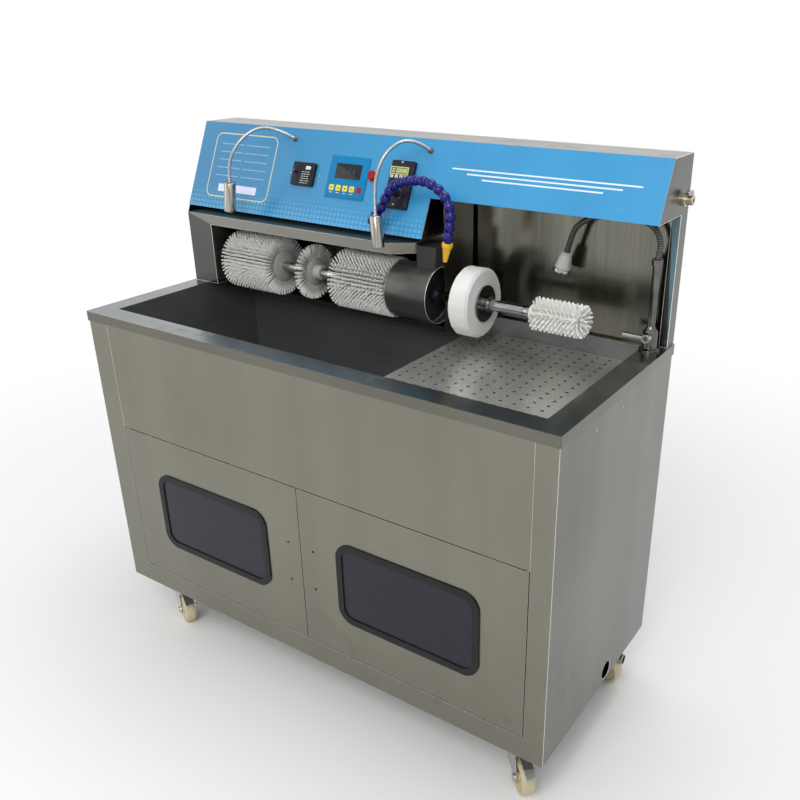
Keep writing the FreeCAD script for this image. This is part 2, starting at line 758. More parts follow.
def drain_fitting():
    """Strainer cup in the basin floor and the pipe that leaves under the right side."""
    top = BASIN_FLOOR + DRAIN_FLANGE_T + BASIN_PITCH * DRAIN_FLANGE_R / (BASIN_MID_Y - BASIN_FRONT)
    mouth = vec(DRAIN_X, BASIN_MID_Y, top)
    under = vec(DRAIN_X, BASIN_MID_Y, top - DRAIN_FLANGE_T)
    cup = rod(vec(DRAIN_X, BASIN_MID_Y, BASIN_FLOOR - DRAIN_CUP_DEPTH), mouth, DRAIN_R)
    flange = rod(under, mouth, DRAIN_FLANGE_R)
    hollow = rod(vec(DRAIN_X, BASIN_MID_Y, BASIN_FLOOR - DRAIN_CUP_DEPTH + DRAIN_FLANGE_T), under,
                 DRAIN_R - DRAIN_FLANGE_T)
    strainer = cup.fuse(flange).cut(hollow)
    for turn in range(STRAINER_HOLES):
        angle = 2 * math.pi * turn / STRAINER_HOLES
        x = DRAIN_X + STRAINER_RING_R * math.cos(angle)
        y = BASIN_MID_Y + STRAINER_RING_R * math.sin(angle)
        strainer = strainer.cut(rod(vec(x, y, top - DRAIN_FLANGE_T - OVERRUN), vec(x, y, top + OVERRUN),
                                    STRAINER_HOLE_R))
    pipe = tube([
        vec(DRAIN_X, BASIN_MID_Y, BASIN_FLOOR - DRAIN_CUP_DEPTH),
        vec(DRAIN_X, BASIN_MID_Y, (BASIN_FLOOR + BODY_BOTTOM) / 2),
        vec(PIPE_DROP_X, PIPE_Y, (BASIN_FLOOR + BODY_BOTTOM) / 2 - DRAIN_CUP_DEPTH),
        vec(PIPE_DROP_X, PIPE_Y, PIPE_Z),
    ], PIPE_R)
    elbow = Part.makeSphere(PIPE_SOCKET_R, vec(PIPE_DROP_X, PIPE_Y, PIPE_Z))
    run = rod(vec(PIPE_DROP_X, PIPE_Y, PIPE_Z), vec(PIPE_END_X, PIPE_Y, PIPE_Z), PIPE_R)
    socket = rod(vec(PIPE_DROP_X, PIPE_Y, BASIN_FLOOR / 2),
                 vec(PIPE_DROP_X, PIPE_Y, BASIN_FLOOR / 2 + PIPE_SOCKET_L), PIPE_SOCKET_R)
    bore = rod(vec(PIPE_DROP_X + PIPE_R, PIPE_Y, PIPE_Z), vec(PIPE_END_X + OVERRUN, PIPE_Y, PIPE_Z),
               PIPE_R - PIPE_WALL)
    return fuse([strainer, pipe, elbow, run, socket]).cut(bore)


def pivot_y():
    return FRAME_FRONT + PIVOT_INSET


def pivot_places():
    """X of the left and right door pivots."""
    return (OPENING_LEFT + DOOR_GAP + PIVOT_INSET, OPENING_RIGHT - DOOR_GAP - PIVOT_INSET)


def door_hinges():
    """Four headed pivot pins, two for each door."""
    pins = []
    for x in pivot_places():
        for edge, sign in ((OPENING_BOTTOM, 1), (APRON_BOTTOM, -1)):
            seat = edge - sign * SHEET
            shank = rod(vec(x, pivot_y(), seat), vec(x, pivot_y(), edge + sign * PIVOT_REACH), PIVOT_R)
            cap = rod(vec(x, pivot_y(), seat - sign * PIVOT_HEAD_T), vec(x, pivot_y(), seat), PIVOT_HEAD_R)
            head = cap.common(block(x - PIVOT_HEAD_R, x + PIVOT_HEAD_R, FRAME_FRONT + SHEET,
                                    FRAME_FRONT + RETURN_DEPTH, seat - RETURN_DEPTH, seat + RETURN_DEPTH))
            pins.append(shank.fuse(head))
    return group(pins)


def door_span(side):
    """Left and right edges of one door."""
    if side < 0:
        return OPENING_LEFT + DOOR_GAP, DOOR_SPLIT - DOOR_GAP / 2
    return DOOR_SPLIT + DOOR_GAP / 2, OPENING_RIGHT - DOOR_GAP


def window_x(side):
    """The window stands in the middle of its door."""
    left, right = door_span(side)
    return (left + right) / 2


def door(side):
    """A door pan with returns, a window cut-out, handle holes and pivot holes."""
    left, right = door_span(side)
    bottom = OPENING_BOTTOM + DOOR_GAP
    top = APRON_BOTTOM - DOOR_GAP
    back = FRAME_FRONT + DOOR_DEPTH
    outer = block(left, right, FRAME_FRONT, back, bottom, top)
    inner = block(left + SHEET, right - SHEET, FRAME_FRONT + SHEET, back + OVERRUN,
                  bottom + SHEET, top - SHEET)
    pan = outer.cut(inner)
    hole = rounded_slab(WINDOW_W - 2 * GASKET_LIP, WINDOW_H - 2 * GASKET_LIP, WINDOW_CORNER - GASKET_LIP,
                        -DOOR_DEPTH, OVERRUN)
    pan = pan.cut(facing_front(hole, window_x(side), FRAME_FRONT, DOOR_MID_Z))
    handle_x = DOOR_SPLIT + side * HANDLE_INSET
    for sign in (-1, 1):
        z = DOOR_MID_Z + sign * HANDLE_PITCH / 2
        pan = pan.cut(rod(vec(handle_x, FRAME_FRONT - OVERRUN, z), vec(handle_x, FRAME_FRONT + OVERRUN, z),
                          HANDLE_HOLE_R))
    pivot_x = pivot_places()[0] if side < 0 else pivot_places()[1]
    return pan.cut(rod(vec(pivot_x, pivot_y(), bottom - OVERRUN), vec(pivot_x, pivot_y(), top + OVERRUN),
                       PIVOT_R + RUN_CLEAR))


def ring(width, height, radius, frame, low, high):
    """A flat rounded frame of one width all round."""
    outer = rounded_slab(width, height, radius, low, high)
    inner = rounded_slab(width - 2 * frame, height - 2 * frame, radius - frame, low - OVERRUN, high + OVERRUN)
    return outer.cut(inner)


def gasket(side):
    """A rubber frame that grips the door sheet outside and the pane inside."""
    web_inset = GASKET_LIP + SEAM
    web_w = WINDOW_W - 2 * web_inset
    web_h = WINDOW_H - 2 * web_inset
    web_frame = (GASKET_FACE - web_inset) / 2
    front_lip = ring(WINDOW_W, WINDOW_H, WINDOW_CORNER, GASKET_FACE, 0, GASKET_PROUD)
    web = ring(web_w, web_h, WINDOW_CORNER - web_inset, web_frame, -GLASS_T, 0)
    back_lip = ring(WINDOW_W, WINDOW_H, WINDOW_CORNER, GASKET_FACE, -GLASS_T - GASKET_PROUD, -GLASS_T)
    heel = ring(WINDOW_W, WINDOW_H, WINDOW_CORNER, web_inset, -GLASS_T, -SHEET)
    shape = fuse([front_lip, web, back_lip, heel])
    return facing_front(shape, window_x(side), FRAME_FRONT, DOOR_MID_Z)


def window_pane(side):
    """The smoked pane held in the gasket."""
    inset = GASKET_LIP + SEAM + (GASKET_FACE - GASKET_LIP - SEAM) / 2 + SEAM
    pane = rounded_slab(WINDOW_W - 2 * inset, WINDOW_H - 2 * inset, WINDOW_CORNER - inset, -GLASS_T, 0)
    return facing_front(pane, window_x(side), FRAME_FRONT, DOOR_MID_Z)


def head_outline(foot_y, foot_z, inset):
    """Cross-section of the head: leaning face, flat top, open back, flat underside."""
    lean = math.radians(FACE_LEAN)
    top = HEAD_TOP - inset
    bottom = foot_z + inset
    shift = inset / math.sin(lean)
    face_top_y = HEAD_TOP_Y + shift - inset / math.tan(lean)
    face_foot_y = foot_y + shift + inset / math.tan(lean)
    back = RIM_HALF_D - SHEET if inset == 0 else RIM_HALF_D + OVERRUN
    return [(face_top_y, top), (back, top), (back, bottom), (face_foot_y, bottom)]


def head_shell():
    """The hollow head: deep console on the left, shallow fascia on the right, side cheeks."""
    console = prism(head_outline(FACE_FOOT_Y, CONSOLE_BOTTOM, 0), "x", -HEAD_HALF_W, CONSOLE_RIGHT)
    console_in = prism(head_outline(FACE_FOOT_Y, CONSOLE_BOTTOM, SHEET), "x", -HEAD_HALF_W + SHEET,
                       CONSOLE_RIGHT - SHEET)
    fascia = prism(head_outline(FASCIA_Y, FASCIA_BOTTOM, 0), "x", CONSOLE_RIGHT, HEAD_HALF_W)
    fascia_in = prism(head_outline(FASCIA_Y, FASCIA_BOTTOM, SHEET), "x", CONSOLE_RIGHT - OVERRUN,
                      HEAD_HALF_W - SHEET)
    back = RIM_HALF_D - SHEET
    left_side = prism([(HOOD_FRONT_Y + SHEET, RIM_TOP), (back, RIM_TOP), (back, CONSOLE_BOTTOM),
                       (FACE_FOOT_Y, CONSOLE_BOTTOM), (HOOD_FRONT_Y + SHEET, HOOD_TOP)], "x",
                      -HEAD_HALF_W, -HEAD_HALF_W + SHEET)
    column = folded([(HEAD_HALF_W - COLUMN_W, COLUMN_Y), (HEAD_HALF_W, COLUMN_Y), (HEAD_HALF_W, back)],
                    "z", RIM_TOP, FASCIA_BOTTOM)
    shell = fuse([console, fascia, left_side, column]).cut(console_in).cut(fascia_in)
    return shell


def control_face():
    """The blue face sheet, deep over the console and shallow over the fascia."""
    outline = [(-HEAD_HALF_W, 0), (HEAD_HALF_W, 0), (HEAD_HALF_W, -FASCIA_LENGTH),
               (CONSOLE_RIGHT, -FASCIA_LENGTH), (CONSOLE_RIGHT, -FACE_LENGTH), (-HEAD_HALF_W, -FACE_LENGTH)]
    return on_face(prism(outline, "z", 0, FACE_SHEET), 0, 0, -FACE_SHEET)


def hood_frame():
    """The visor over the brushes with its turned-down lip and the cheek on the left."""
    back = COLUMN_Y
    outline = [(CHEEK_LEFT, HOOD_FRONT_Y), (HOOD_RIGHT, HOOD_FRONT_Y), (HOOD_BACK_RIGHT, HOOD_TURN_Y),
               (HOOD_BACK_RIGHT, back), (CHEEK_LEFT, back)]
    lip = HOOD_TOP - HOOD_LIP
    top = prism(outline, "z", HOOD_TOP - SHEET, HOOD_TOP)
    skirt = folded([outline[0], outline[1], outline[2]], "z", lip, HOOD_TOP)
    cheek = folded([(CHEEK_LEFT, HOOD_FRONT_Y), (CHEEK_RIGHT, HOOD_FRONT_Y), (CHEEK_RIGHT, back)], "z",
                   RIM_TOP, HOOD_TOP - SHEET)
    return fuse([top, skirt, cheek])


def splash_back():
    """The bright wall behind the brushes and the wash recess, with a folded foot."""
    left = CHEEK_RIGHT + SHEET
    middle = SHELF_RIGHT + SHEET
    right = HEAD_HALF_W - COLUMN_W
    back = COLUMN_Y + SHEET
    shallow = block(middle, right, COLUMN_Y, back, RIM_TOP, FASCIA_BOTTOM)
    deep = block(left, middle, COLUMN_Y, back, RIM_TOP, CONSOLE_BOTTOM)
    foot = block(left, right, BASIN_BACK + BASIN_FLANGE / 2, COLUMN_Y, RIM_TOP, RIM_TOP + SHEET)
    return fuse([shallow, deep, foot])


def brush_shelf():
    """The drip shelf behind the brushes and the motor's side plate with its rear flange."""
    back = BASIN_BACK - SHEET
    shelf = folded([(back, RIM_TOP), (back, SHELF_Z), (SHELF_FRONT_Y, SHELF_Z),
                    (SHELF_FRONT_Y, SHELF_Z - SHELF_LIP)], "x", BASIN_LEFT, SHELF_RIGHT)
    plate = block(SHELF_RIGHT - SHEET, SHELF_RIGHT, SHELF_FRONT_Y, BASIN_BACK, SHELF_Z - SHEET, FASCIA_BOTTOM)
    flange = block(SHELF_RIGHT - SHEET, SHELF_RIGHT + SIDE_FLANGE, back, BASIN_BACK, RIM_TOP, FASCIA_BOTTOM)
    return fuse([shelf, plate, flange])


def along_shaft(profile, x):
    """Turn an outline about the shaft axis, heights measured to the right from x."""
    return lathe(profile, vec(x, SHAFT_Y, SHAFT_Z), vec(1, 0, 0))


def hollow_rod(left, right, radius, bore):
    """A sleeve on the shaft axis."""
    return along_shaft([(bore, 0), (radius, 0), (radius, right - left), (bore, right - left)], left)


def shaft_bearings():
    """The flanged bearing on the bay wall and the rubber seal in the motor cover."""
    flange = hollow_rod(CHEEK_RIGHT, CHEEK_RIGHT + BEARING_FLANGE, BEARING_R, SHAFT_R + RUN_CLEAR)
    barrel = hollow_rod(CHEEK_RIGHT, CHEEK_RIGHT + BEARING_W, (BEARING_R + SHAFT_R) / 2, SHAFT_R + RUN_CLEAR)
    bearing = flange.fuse(barrel)
    for sign in (-1, 1):
        y = SHAFT_Y + sign * (BEARING_R - BEARING_FLANGE)
        bearing = bearing.fuse(rod(vec(CHEEK_RIGHT + BEARING_FLANGE, y, SHAFT_Z),
                                   vec(CHEEK_RIGHT + BEARING_FLANGE + BEARING_BOLT_R, y, SHAFT_Z),
                                   BEARING_BOLT_R))
    seal = hollow_rod(COVER_DISC_X, COVER_DISC_X + SEAL_W, SEAL_R, SHAFT_R + SOFT_CLEAR)
    return group([bearing, seal])


def drive_shaft():
    """The long shaft with its wheel flanges, collars and nuts."""
    end = BOTTLE_BRISTLE
    bar = along_shaft([(0, 0), (SHAFT_R, 0), (SHAFT_R, end - SHAFT_LEFT), (0, end - SHAFT_LEFT)], SHAFT_LEFT)
    pieces = [bar]
    for edge, sign in ((FELT_LEFT, -1), (FELT_RIGHT, 1)):
        low, high = sorted((edge, edge + sign * FLANGE_T))
        pieces.append(hollow_rod(low, high, FLANGE_R, SHAFT_R))
        outer = edge + sign * FLANGE_T
        low, high = sorted((outer, outer + sign * COLLAR_L))
        pieces.append(hollow_rod(low, high, COLLAR_R, SHAFT_R))
    shaft = fuse(pieces)
    screws = []
    for sign in (-1, 1):
        y = SHAFT_Y + sign * (FLANGE_R + COLLAR_R) / 2
        screws.append(rod(vec(FELT_RIGHT + FLANGE_T, y, SHAFT_Z), vec(FELT_RIGHT + 2 * FLANGE_T, y, SHAFT_Z),
                          FLANGE_T))
    return fuse([shaft] + screws)


def comb_profile(length, bore, root, tip, rings, end):
    """Half outline of a round brush: rings of bristle between narrow grooves."""
    pitch = (length - 2 * end) / rings
    groove = pitch * BRUSH_GROOVE_SHARE
    outline = [(bore, 0), (root, 0), (root, end)]
    for turn in range(rings):
        start = end + turn * pitch
        outline += [(root, start + groove / 2), (tip, start + groove), (tip, start + pitch - groove / 2),
                    (root, start + pitch)]
    return outline + [(root, length), (bore, length)]


def roller_brushes():
    """Two wide brushes on hollow cores."""
    pieces = []
    for left, length, tip in ((LEFT_ROLLER_X, LEFT_ROLLER_L, LEFT_ROLLER_R),
                              (RIGHT_ROLLER_X, RIGHT_ROLLER_L, RIGHT_ROLLER_R)):
        profile = comb_profile(length, SHAFT_R, BRUSH_ROOT_R, tip, ROLLER_RINGS, BRUSH_END)
        pieces.append(along_shaft(profile, left))
    return group(pieces)


def disc_brush():
    """The narrow brush between the rollers."""
    hub = DISC_BRUSH_W + BRUSH_END
    end = DISC_BRUSH_W + hub
    profile = [(SHAFT_R, -hub), (BRUSH_HUB_R, -hub), (BRUSH_CORE_R, 0), (DISC_BRUSH_R, 0),
               (DISC_BRUSH_R, DISC_BRUSH_W), (BRUSH_CORE_R, DISC_BRUSH_W), (BRUSH_HUB_R, end), (SHAFT_R, end)]
    return along_shaft(profile, DISC_BRUSH_X)


def felt_wheel():
    """The felt buffing wheel with chamfered edges."""
    width = FELT_RIGHT - FELT_LEFT
    profile = [(SHAFT_R, 0), (FELT_R - FELT_CHAMFER, 0), (FELT_R, FELT_CHAMFER),
               (FELT_R, width - FELT_CHAMFER), (FELT_R - FELT_CHAMFER, width), (SHAFT_R, width)]
    return along_shaft(profile, FELT_LEFT)


def bottle_brush():
    """The round-ended brush on the shaft's right end, with its white collar."""
    length = BOTTLE_RIGHT - BOTTLE_BRISTLE
    pitch = length / BOTTLE_RINGS
    start = BOTTLE_BRISTLE - BOTTLE_LEFT
    profile = [(SHAFT_R, 0), (COLLAR_R, 0), (COLLAR_R, start), (BOTTLE_CORE_R, start)]
    for turn in range(BOTTLE_RINGS):
        low = start + turn * pitch
        share = (turn + 1) / BOTTLE_RINGS
        tip = BOTTLE_R * math.sqrt(1 - share ** BOTTLE_RINGS * (BOTTLE_R - BOTTLE_CORE_R) / BOTTLE_R)
        foot = low + pitch * RIB_START_SHARE
        profile += [(BOTTLE_CORE_R, foot), (tip, low + pitch / 2), (tip, low + pitch)]
    profile += [(0, start + length), (0, start), (SHAFT_R, start)]
    return along_shaft(profile, BOTTLE_LEFT)


def motor():
    """The finned motor round the shaft, with the foot that stands on the shelf."""
    length = MOTOR_RIGHT - MOTOR_LEFT
    pitch = length / MOTOR_RIBS
    profile = [(SHAFT_R + RUN_CLEAR, 0), (MOTOR_R, 0)]
    for rib in range(MOTOR_RIBS):
        low = rib * pitch
        foot = low + pitch * RIB_START_SHARE
        profile += [(MOTOR_R, foot), (MOTOR_RIB_R, foot), (MOTOR_RIB_R, low + pitch / 2),
                    (MOTOR_R, low + pitch / 2)]
    profile += [(MOTOR_R, length), (SHAFT_R + RUN_CLEAR, length)]
    body = along_shaft(profile, MOTOR_LEFT)
    foot = block(FOOT_LEFT, FOOT_RIGHT, FOOT_FRONT_Y, FOOT_BACK_Y, SHELF_Z, SHAFT_Z)
    keep = rod(vec(MOTOR_LEFT, SHAFT_Y, SHAFT_Z), vec(MOTOR_RIGHT, SHAFT_Y, SHAFT_Z), MOTOR_R - SHEET)
    return fuse([body, foot.cut(keep)])


def motor_cover():
    """The bright drum round the motor, open to the left, with a recessed end disc."""
    drum = hollow_rod(COVER_LEFT, COVER_RIGHT, COVER_R, COVER_R - SHEET)
    disc = hollow_rod(COVER_DISC_X - SHEET, COVER_DISC_X, COVER_R - SHEET, SHAFT_R + SOFT_CLEAR)
    left_disc = hollow_rod(COVER_LEFT, COVER_LEFT + SHEET, COVER_R - SHEET, SHAFT_R + SOFT_CLEAR)
    slot = block(FOOT_LEFT - SEAM, FOOT_RIGHT + SEAM, FOOT_FRONT_Y - SEAM, FOOT_BACK_Y + SEAM,
                 SHELF_Z, SHAFT_Z - MOTOR_R / 2)
    return fuse([drum, disc, left_disc]).cut(slot)


def terminal_box():
    """The switch box on the drum with a lid and a cable gland."""
    bottom = SHAFT_Z + COVER_R
    box = block(BOX_LEFT, BOX_RIGHT, BOX_FRONT_Y, BOX_BACK_Y, bottom - BOX_CORNER, BOX_TOP)
    edges = [edge for edge in box.Edges if abs(edge.Vertexes[0].Z - edge.Vertexes[1].Z) > SHEET]
    box = box.makeFillet(BOX_CORNER, edges)
    drum = rod(vec(BOX_LEFT - OVERRUN, SHAFT_Y, SHAFT_Z), vec(BOX_RIGHT + OVERRUN, SHAFT_Y, SHAFT_Z),
               COVER_R + RUN_CLEAR)
    gland_z = (bottom + BOX_TOP) / 2
    gland_x = (BOX_LEFT + BOX_RIGHT) / 2
    gland = rod(vec(gland_x, BOX_BACK_Y, gland_z), vec(gland_x, BOX_BACK_Y + GLAND_L, gland_z), GLAND_R)
    return box.cut(drum).fuse(gland)


def plate_on_face(width, height, radius, low, high, x, s):
    return on_face(rounded_slab(width, height, radius, low, high), x, s)


def breaker_body():
    """The safety switch: a plate with a toggle slot and a raised test key."""
    body = plate_on_face(BREAKER_W, BREAKER_H, SCREW_R, 0, BREAKER_T, BREAKER_X, BREAKER_S)
    slot = plate_on_face(TOGGLE_SLOT_W, TOGGLE_SLOT_H, SHEET, BREAKER_T - TOGGLE_SLOT_DEPTH,
                         BREAKER_T + OVERRUN, TOGGLE_X, BREAKER_S)
    key = plate_on_face(TEST_W, TEST_H, SHEET, BREAKER_T, BREAKER_T + TEST_PROUD,
                        BREAKER_X + TEST_W, BREAKER_S - TEST_W)
    return body.cut(slot).fuse(key)


def breaker_toggle():
    """The rocking toggle on a hub across the slot."""
    hub = rod(vec(-TOGGLE_W / 2, 0, 0), vec(TOGGLE_W / 2, 0, 0), TOGGLE_HUB_R)
    tip = TOGGLE_HUB_R / 2
    arm = prism([(-TOGGLE_HUB_R, 0), (TOGGLE_HUB_R, 0), (tip, TOGGLE_R), (-tip, TOGGLE_R)], "x",
                -TOGGLE_W / 2, TOGGLE_W / 2)
    lever = hub.fuse(arm)
    lever.rotate(vec(0, 0, 0), vec(1, 0, 0), -TOGGLE_TILT)
    return on_face(lever, TOGGLE_X, BREAKER_S, BREAKER_T - TOGGLE_SLOT_DEPTH + TOGGLE_HUB_R + SEAM)


def control_board():
    """The display board: a plate with a display window and a row of membrane keys."""
    board = plate_on_face(BOARD_W, BOARD_H, SHEET, 0, BOARD_T, BOARD_X, BOARD_S)
    display = plate_on_face(DISPLAY_W, DISPLAY_H, SHEET, BOARD_T - DISPLAY_DEPTH, BOARD_T + OVERRUN,
                            DISPLAY_X, DISPLAY_S)
    keys = []
    for place in range(KEY_COUNT):
        keys.append(plate_on_face(KEY_SIZE, KEY_SIZE, SHEET, BOARD_T, BOARD_T + KEY_PROUD,
                                  KEY_LEFT_X + place * KEY_PITCH, KEY_S))
    return fuse([board.cut(display)] + keys)


def button_bezel():
    """Ring that guides the push button, part of the screws and trim."""
    ring_face = [(BUTTON_R + BUTTON_CLEAR, 0), (BEZEL_R, 0), (BEZEL_R - SHEET, BEZEL_T),
                 (BUTTON_R + BUTTON_CLEAR, BEZEL_T)]
    return on_face(lathe_local(ring_face), BUTTON_X, BUTTON_S)


def lathe_local(profile):
    """Turn an outline about the local z axis."""
    return lathe(profile, vec(0, 0, 0), vec(0, 0, 1))


def push_button():
    """The red mushroom button in its bezel, standing clear by its travel."""
    foot = BUTTON_TRAVEL + SEAM
    top = BEZEL_T + BUTTON_PROUD
    profile = [(0, foot), (BUTTON_R, foot), (BUTTON_R, top - SHEET), (BUTTON_R - SHEET, top), (0, top)]
    return on_face(lathe_local(profile), BUTTON_X, BUTTON_S)


def speed_controller():
    """The black drive controller: plate, recessed display, small keys and knob stem."""
    body = plate_on_face(CONTROLLER_W, CONTROLLER_H, SCREW_R, 0, CONTROLLER_T, CONTROLLER_X, CONTROLLER_S)
    window = plate_on_face(LCD_W, LCD_H, SHEET, CONTROLLER_T - LCD_DEPTH, CONTROLLER_T + OVERRUN,
                           LCD_X, LCD_S)
    keys = []
    for place in range(SMALL_KEY_COUNT):
        keys.append(plate_on_face(SMALL_KEY_W, SMALL_KEY_H, SHEET, CONTROLLER_T, CONTROLLER_T + KEY_PROUD,
                                  SMALL_KEY_LEFT + place * SMALL_KEY_PITCH, SMALL_KEY_S))
    stem = rod(vec(0, 0, CONTROLLER_T), vec(0, 0, CONTROLLER_T + KNOB_H / 2), KNOB_STEM_R)
    stem = on_face(stem, KNOB_X, KNOB_S)
    return fuse([body.cut(window), stem] + keys)


def control_knob():
    """The fluted knob on the controller's stem."""
    skirt = KNOB_R + SHEET
    profile = [(0, 0), (skirt, 0), (skirt, SHEET), (KNOB_R, 2 * SHEET), (KNOB_R - SHEET / 2, KNOB_H),
               (0, KNOB_H)]
    knob = lathe_local(profile)
    for flute in range(KNOB_FLUTES):
        angle = 2 * math.pi * flute / KNOB_FLUTES
        x = KNOB_R * math.cos(angle)
        y = KNOB_R * math.sin(angle)
        knob = knob.cut(rod(vec(x, y, 2 * SHEET), vec(x, y, KNOB_H + OVERRUN), KNOB_FLUTE_R))
    knob = knob.cut(rod(vec(0, 0, -OVERRUN), vec(0, 0, KNOB_H / 2), KNOB_STEM_R + RUN_CLEAR))
    return on_face(knob, KNOB_X, KNOB_S, CONTROLLER_T + KNOB_GAP)


def face_screws():
    """Domed screws on the control devices and the push button's bezel."""
    pieces = [button_bezel()]
    profile = [(0, 0), (SCREW_R, 0), (SCREW_R, SCREW_H / 2), (SCREW_R / 2, SCREW_H), (0, SCREW_H)]
    for x, s in FACE_SCREWS:
        pieces.append(on_face(lathe_local(profile), x, s))
    for x, s in CONTROLLER_SCREWS:
        pieces.append(on_face(lathe_local(profile), x, s, CONTROLLER_T))
    return group(pieces)


def face_point(x, s):
    """A point on the outer surface of the leaning face."""
    return on_face(Part.Vertex(vec(0, 0, 0)), x, s).Point


def face_normal():
    return FreeCAD.Rotation(vec(1, 0, 0), FACE_LEAN).multVec(vec(0, 0, 1))


def lamp(root_x, heading, stretch):
    """A gooseneck lamp: nut on the face, bent tube and round head hanging down."""
    root = face_point(root_x, LAMP_S)
    turn = math.radians(heading)
    ahead = vec(-math.sin(turn), -math.cos(turn), 0)
    points = []
    for out, up in LAMP_ROUTE_SHARES:
        rise = up * (LAMP_RISE if up > 0 else LAMP_FALL)
        points.append(root + ahead * (out * LAMP_REACH * stretch) + vec(0, 0, rise))
    nut = rod(root, root + (points[1] - points[0]).normalize() * LAMP_NUT_L, LAMP_NUT_R)
    foot = nut.common(on_face(rod(vec(0, 0, 0), vec(0, 0, 2 * LAMP_NUT_L), 2 * LAMP_NUT_R), root_x, LAMP_S))
    neck = tube(points, LAMP_TUBE_R)
    lean = (points[-1] - points[-2]).normalize()
    profile = [(0, 0), (LAMP_TUBE_R + SHEET, 0), (LAMP_HEAD_R, LAMP_NUT_L / 2), (LAMP_HEAD_R, LAMP_HEAD_L),
               (LAMP_LENS_R, LAMP_HEAD_L), (LAMP_LENS_R, LAMP_HEAD_L - LAMP_NUT_L),
               (0, LAMP_HEAD_L - LAMP_NUT_L)]
    head = lathe(profile, points[-1] - lean * SHEET, lean)
    return fuse([foot, neck.cut(on_face(block(-LAMP_NUT_L, LAMP_NUT_L, -LAMP_NUT_L, LAMP_NUT_L,
                                              -LAMP_NUT_L, 0), root_x, LAMP_S)), head])


def hose_route():
    """The centre line of the segmented hose from its base to the nozzle."""
    base = face_point(HOSE_BASE_X, HOSE_BASE_S) + face_normal() * HOSE_BASE_L
    tip = base + face_normal() * HOSE_STUB
    points = [base, tip]
    for across, back, up in HOSE_ROUTE_SHARES:
        points.append(tip + vec(HOSE_WIDTH * across, HOSE_RETREAT * back, HOSE_RISE * up))
    return points


def hose_base():
    """The black swivel socket and cock that the hose leaves from."""
    profile = [(0, 0), (HOSE_BASE_R, 0), (HOSE_BASE_R, HOSE_BASE_L / 2), (HOSE_WAIST_R, HOSE_BASE_L - SEAM),
               (0, HOSE_BASE_L - SEAM)]
    return on_face(lathe_local(profile), HOSE_BASE_X, HOSE_BASE_S)


def ring_wire(point, run, side, radius):
    """A circle across the hose, its own x axis held to one side."""
    circle = Part.Wire(Part.makeCircle(radius))
    circle.Placement = FreeCAD.Placement(point, FreeCAD.Rotation(side, vec(0, 0, 0), run, "ZXY"))
    return circle


def segmented_hose():
    """The ball-jointed hose: a bulge and a waist for every segment, with a bore."""
    side = vec(0, -1, 0)
    radii = (HOSE_WAIST_R, HOSE_R, HOSE_R, HOSE_WAIST_R)
    stations = smooth_path(hose_route()).discretize(Number=HOSE_RIBS * len(radii) + 1)
    outer = []
    inner = []
    for place, point in enumerate(stations):
        ahead = stations[min(place + 1, len(stations) - 1)] - stations[max(place - 1, 0)]
        outer.append(ring_wire(point, ahead, side, radii[place % len(radii)]))
        inner.append(ring_wire(point, ahead, side, HOSE_BORE_R))
    skin = Part.makeLoft(outer, True, True)
    bore = Part.makeLoft(inner, True, True)
    return skin.cut(bore)


def hose_nozzle():
    """The tapered yellow nozzle at the hose's tip."""
    route = hose_route()
    lean = (route[-1] - route[-2]).normalize()
    profile = [(NOZZLE_BORE_R, 0), (HOSE_R, 0), (HOSE_R, NOZZLE_L * NOZZLE_BAND_SHARE), (HOSE_WAIST_R, NOZZLE_L / 2),
               (NOZZLE_TIP_R, NOZZLE_L), (NOZZLE_BORE_R, NOZZLE_L)]
    return lathe(profile, route[-1], lean)


def faucet_body():
    """The tap on the rim: foot, valve body and riser pipe."""
    shoulder = TAP_FOOT_H + TAP_BODY_H
    collar = RISER_RISE - RISER_COLLAR_H
    socket = RISER_RISE - RISER_COLLAR_H / 2
    profile = [(0, 0), (TAP_FOOT_R, 0), (TAP_FOOT_R, TAP_FOOT_H / 2), (TAP_BODY_R, TAP_FOOT_H),
               (TAP_BODY_R, shoulder), (TAP_NECK_R, shoulder + TAP_FOOT_H), (RISER_R, shoulder + TAP_NECK_R),
               (RISER_R, collar), (RISER_COLLAR_R, collar), (RISER_COLLAR_R, RISER_RISE),
               (NECK_R + NECK_CLEAR, RISER_RISE), (NECK_R + NECK_CLEAR, socket), (0, socket)]
    body = lathe(profile, vec(TAP_X, TAP_Y, RIM_TOP), vec(0, 0, 1))
    stem = rod(vec(TAP_X, TAP_Y, LEVER_Z), vec(TAP_X, TAP_Y - TAP_BODY_R - LEVER_HUB_L, LEVER_Z), LEVER_R)
    return body.fuse(stem)


def faucet_lever():
    """The lever that turns on the valve's side stem."""
    start = TAP_Y - TAP_BODY_R - SEAM
    hub = rod(vec(TAP_X, start, LEVER_Z), vec(TAP_X, start - LEVER_HUB_L, LEVER_Z), LEVER_HUB_R)
    bore = rod(vec(TAP_X, start + OVERRUN, LEVER_Z), vec(TAP_X, start - LEVER_HUB_L - OVERRUN, LEVER_Z),
               LEVER_R + RUN_CLEAR)
    root = vec(TAP_X, start - LEVER_HUB_L / 2, LEVER_Z)
    arm = Part.makeCone(LEVER_R, LEVER_TIP_R, LEVER_L, root, vec(-1, 0, 0))
    return hub.fuse(arm).cut(bore)


def neck_route():
    """The centre line of the spiral neck, from the riser up and over to the head."""
    turn = math.radians(NECK_ANGLE)
    ahead = vec(-math.cos(turn), -math.sin(turn), 0)
    start = vec(TAP_X, TAP_Y, RISER_TOP - RISER_COLLAR_H / 2 + SEAM)
    points = [start]
    for out, up in NECK_ROUTE_SHARES:
        points.append(vec(TAP_X, TAP_Y, RISER_TOP) + ahead * (out * NECK_REACH) + vec(0, 0, up * NECK_RISE))
    return points


